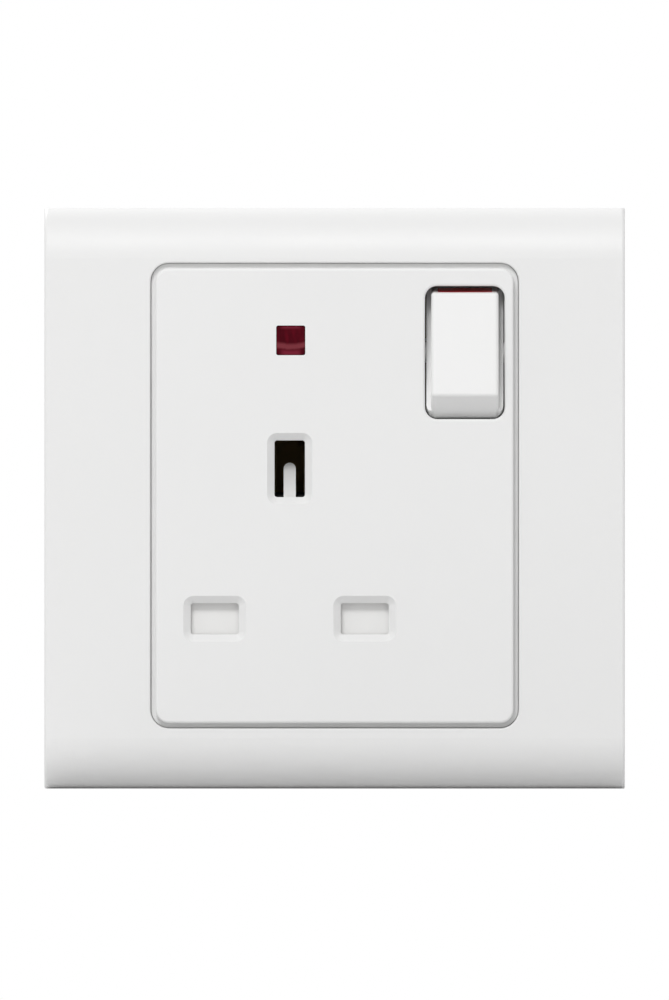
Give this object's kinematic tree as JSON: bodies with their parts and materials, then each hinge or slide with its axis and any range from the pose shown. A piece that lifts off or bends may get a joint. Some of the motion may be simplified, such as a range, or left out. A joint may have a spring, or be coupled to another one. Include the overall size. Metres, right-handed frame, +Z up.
{
  "type": "switched wall socket",
  "caption": "Square white wall socket with a rolled clip-on frame, shuttered rectangular pin slots, a rocker switch with red mark and a red neon window, with its contacts and terminals inside.",
  "frame": {"origin": "centre of the plate and of its two fixing slots, on the wall plane", "axes": "+X to the right seen from the front, +Z up, the front faces -Y, +Y points into the wall"},
  "size_m": [0.086, 0.0366, 0.086],
  "materials": {
    "frame_white": "satin white urea moulding",
    "module_white": "satin white urea moulding",
    "rocker_white": "smooth white moulding",
    "mark_red": "red insert",
    "lens_red": "clear deep red",
    "shutter_white": "dull white moulding",
    "mount_grey": "light grey moulding",
    "housing_dark": "dark moulding",
    "spring_steel": "drawn wire",
    "contact_brass": "rolled sheet",
    "lever_copper": "rolled copper sheet",
    "terminal_brass": "turned and milled",
    "screw_brass": "turned",
    "screw_steel": "zinc plated",
    "contact_silver": "silver alloy",
    "plunger_plastic": "natural nylon",
    "lamp_glass": "clear glass",
    "resistor_body": "lacquered",
    "lead_wire": "tinned wire"
  },
  "bodies": {
    "base": {"front_frame": "frame_white", "module_cover": "module_white", "neon_lens": "lens_red", "mounting_plate": "mount_grey", "rear_housing": "housing_dark", "shutter_spring": "spring_steel", "line_contact": "contact_brass", "neutral_contact": "contact_brass", "earth_contact": "contact_brass", "line_feed_bracket": "contact_brass", "line_terminal": "terminal_brass", "neutral_terminal": "terminal_brass", "earth_terminal": "terminal_brass", "terminal_screws": "screw_brass", "fixed_contact_tip": "contact_silver", "neon_lamp": "lamp_glass", "neon_resistor": "resistor_body", "neon_lead_neutral": "lead_wire", "neon_lead_line": "lead_wire", "housing_screws": "screw_steel"},
    "rocker": {"rocker": "rocker_white", "rocker_mark": "mark_red", "rocker_spring": "spring_steel"},
    "plunger": {"rocker_plunger": "plunger_plastic"},
    "contact_lever": {"contact_lever": "lever_copper", "moving_contact_tip": "contact_silver"},
    "shutter": {"shutter": "shutter_white"}
  },
  "joints": [
    {"name": "rocker_pivot", "type": "hinge", "parent": "base", "child": "rocker", "pos_m": [0.0193, -0.0055, 0.0216], "axis": [1, 0, 0], "range_deg": [0, 26]},
    {"name": "contact_lever_pivot", "type": "hinge", "parent": "base", "child": "contact_lever", "pos_m": [0.0193, 0.00654, 0.0216], "axis": [1, 0, 0], "range_deg": [-16, 0]},
    {"name": "plunger_slide", "type": "slide", "parent": "rocker", "child": "plunger", "axis": [0, -0.9744, 0.225], "range_m": [0, 0.0006], "stiffness_N_per_m": 300, "springref_m": -0.004, "deforming": ["rocker_spring"]},
    {"name": "shutter_slide", "type": "slide", "parent": "base", "child": "shutter", "axis": [0, 0, -1], "range_m": [0, 0.0056], "stiffness_N_per_m": 60, "springref_m": -0.008, "deforming": ["shutter_spring"]}
  ],
  "couplings": [
    {"joint": "contact_lever_pivot", "follows": "rocker_pivot", "ratio": -0.61538}
  ]
}
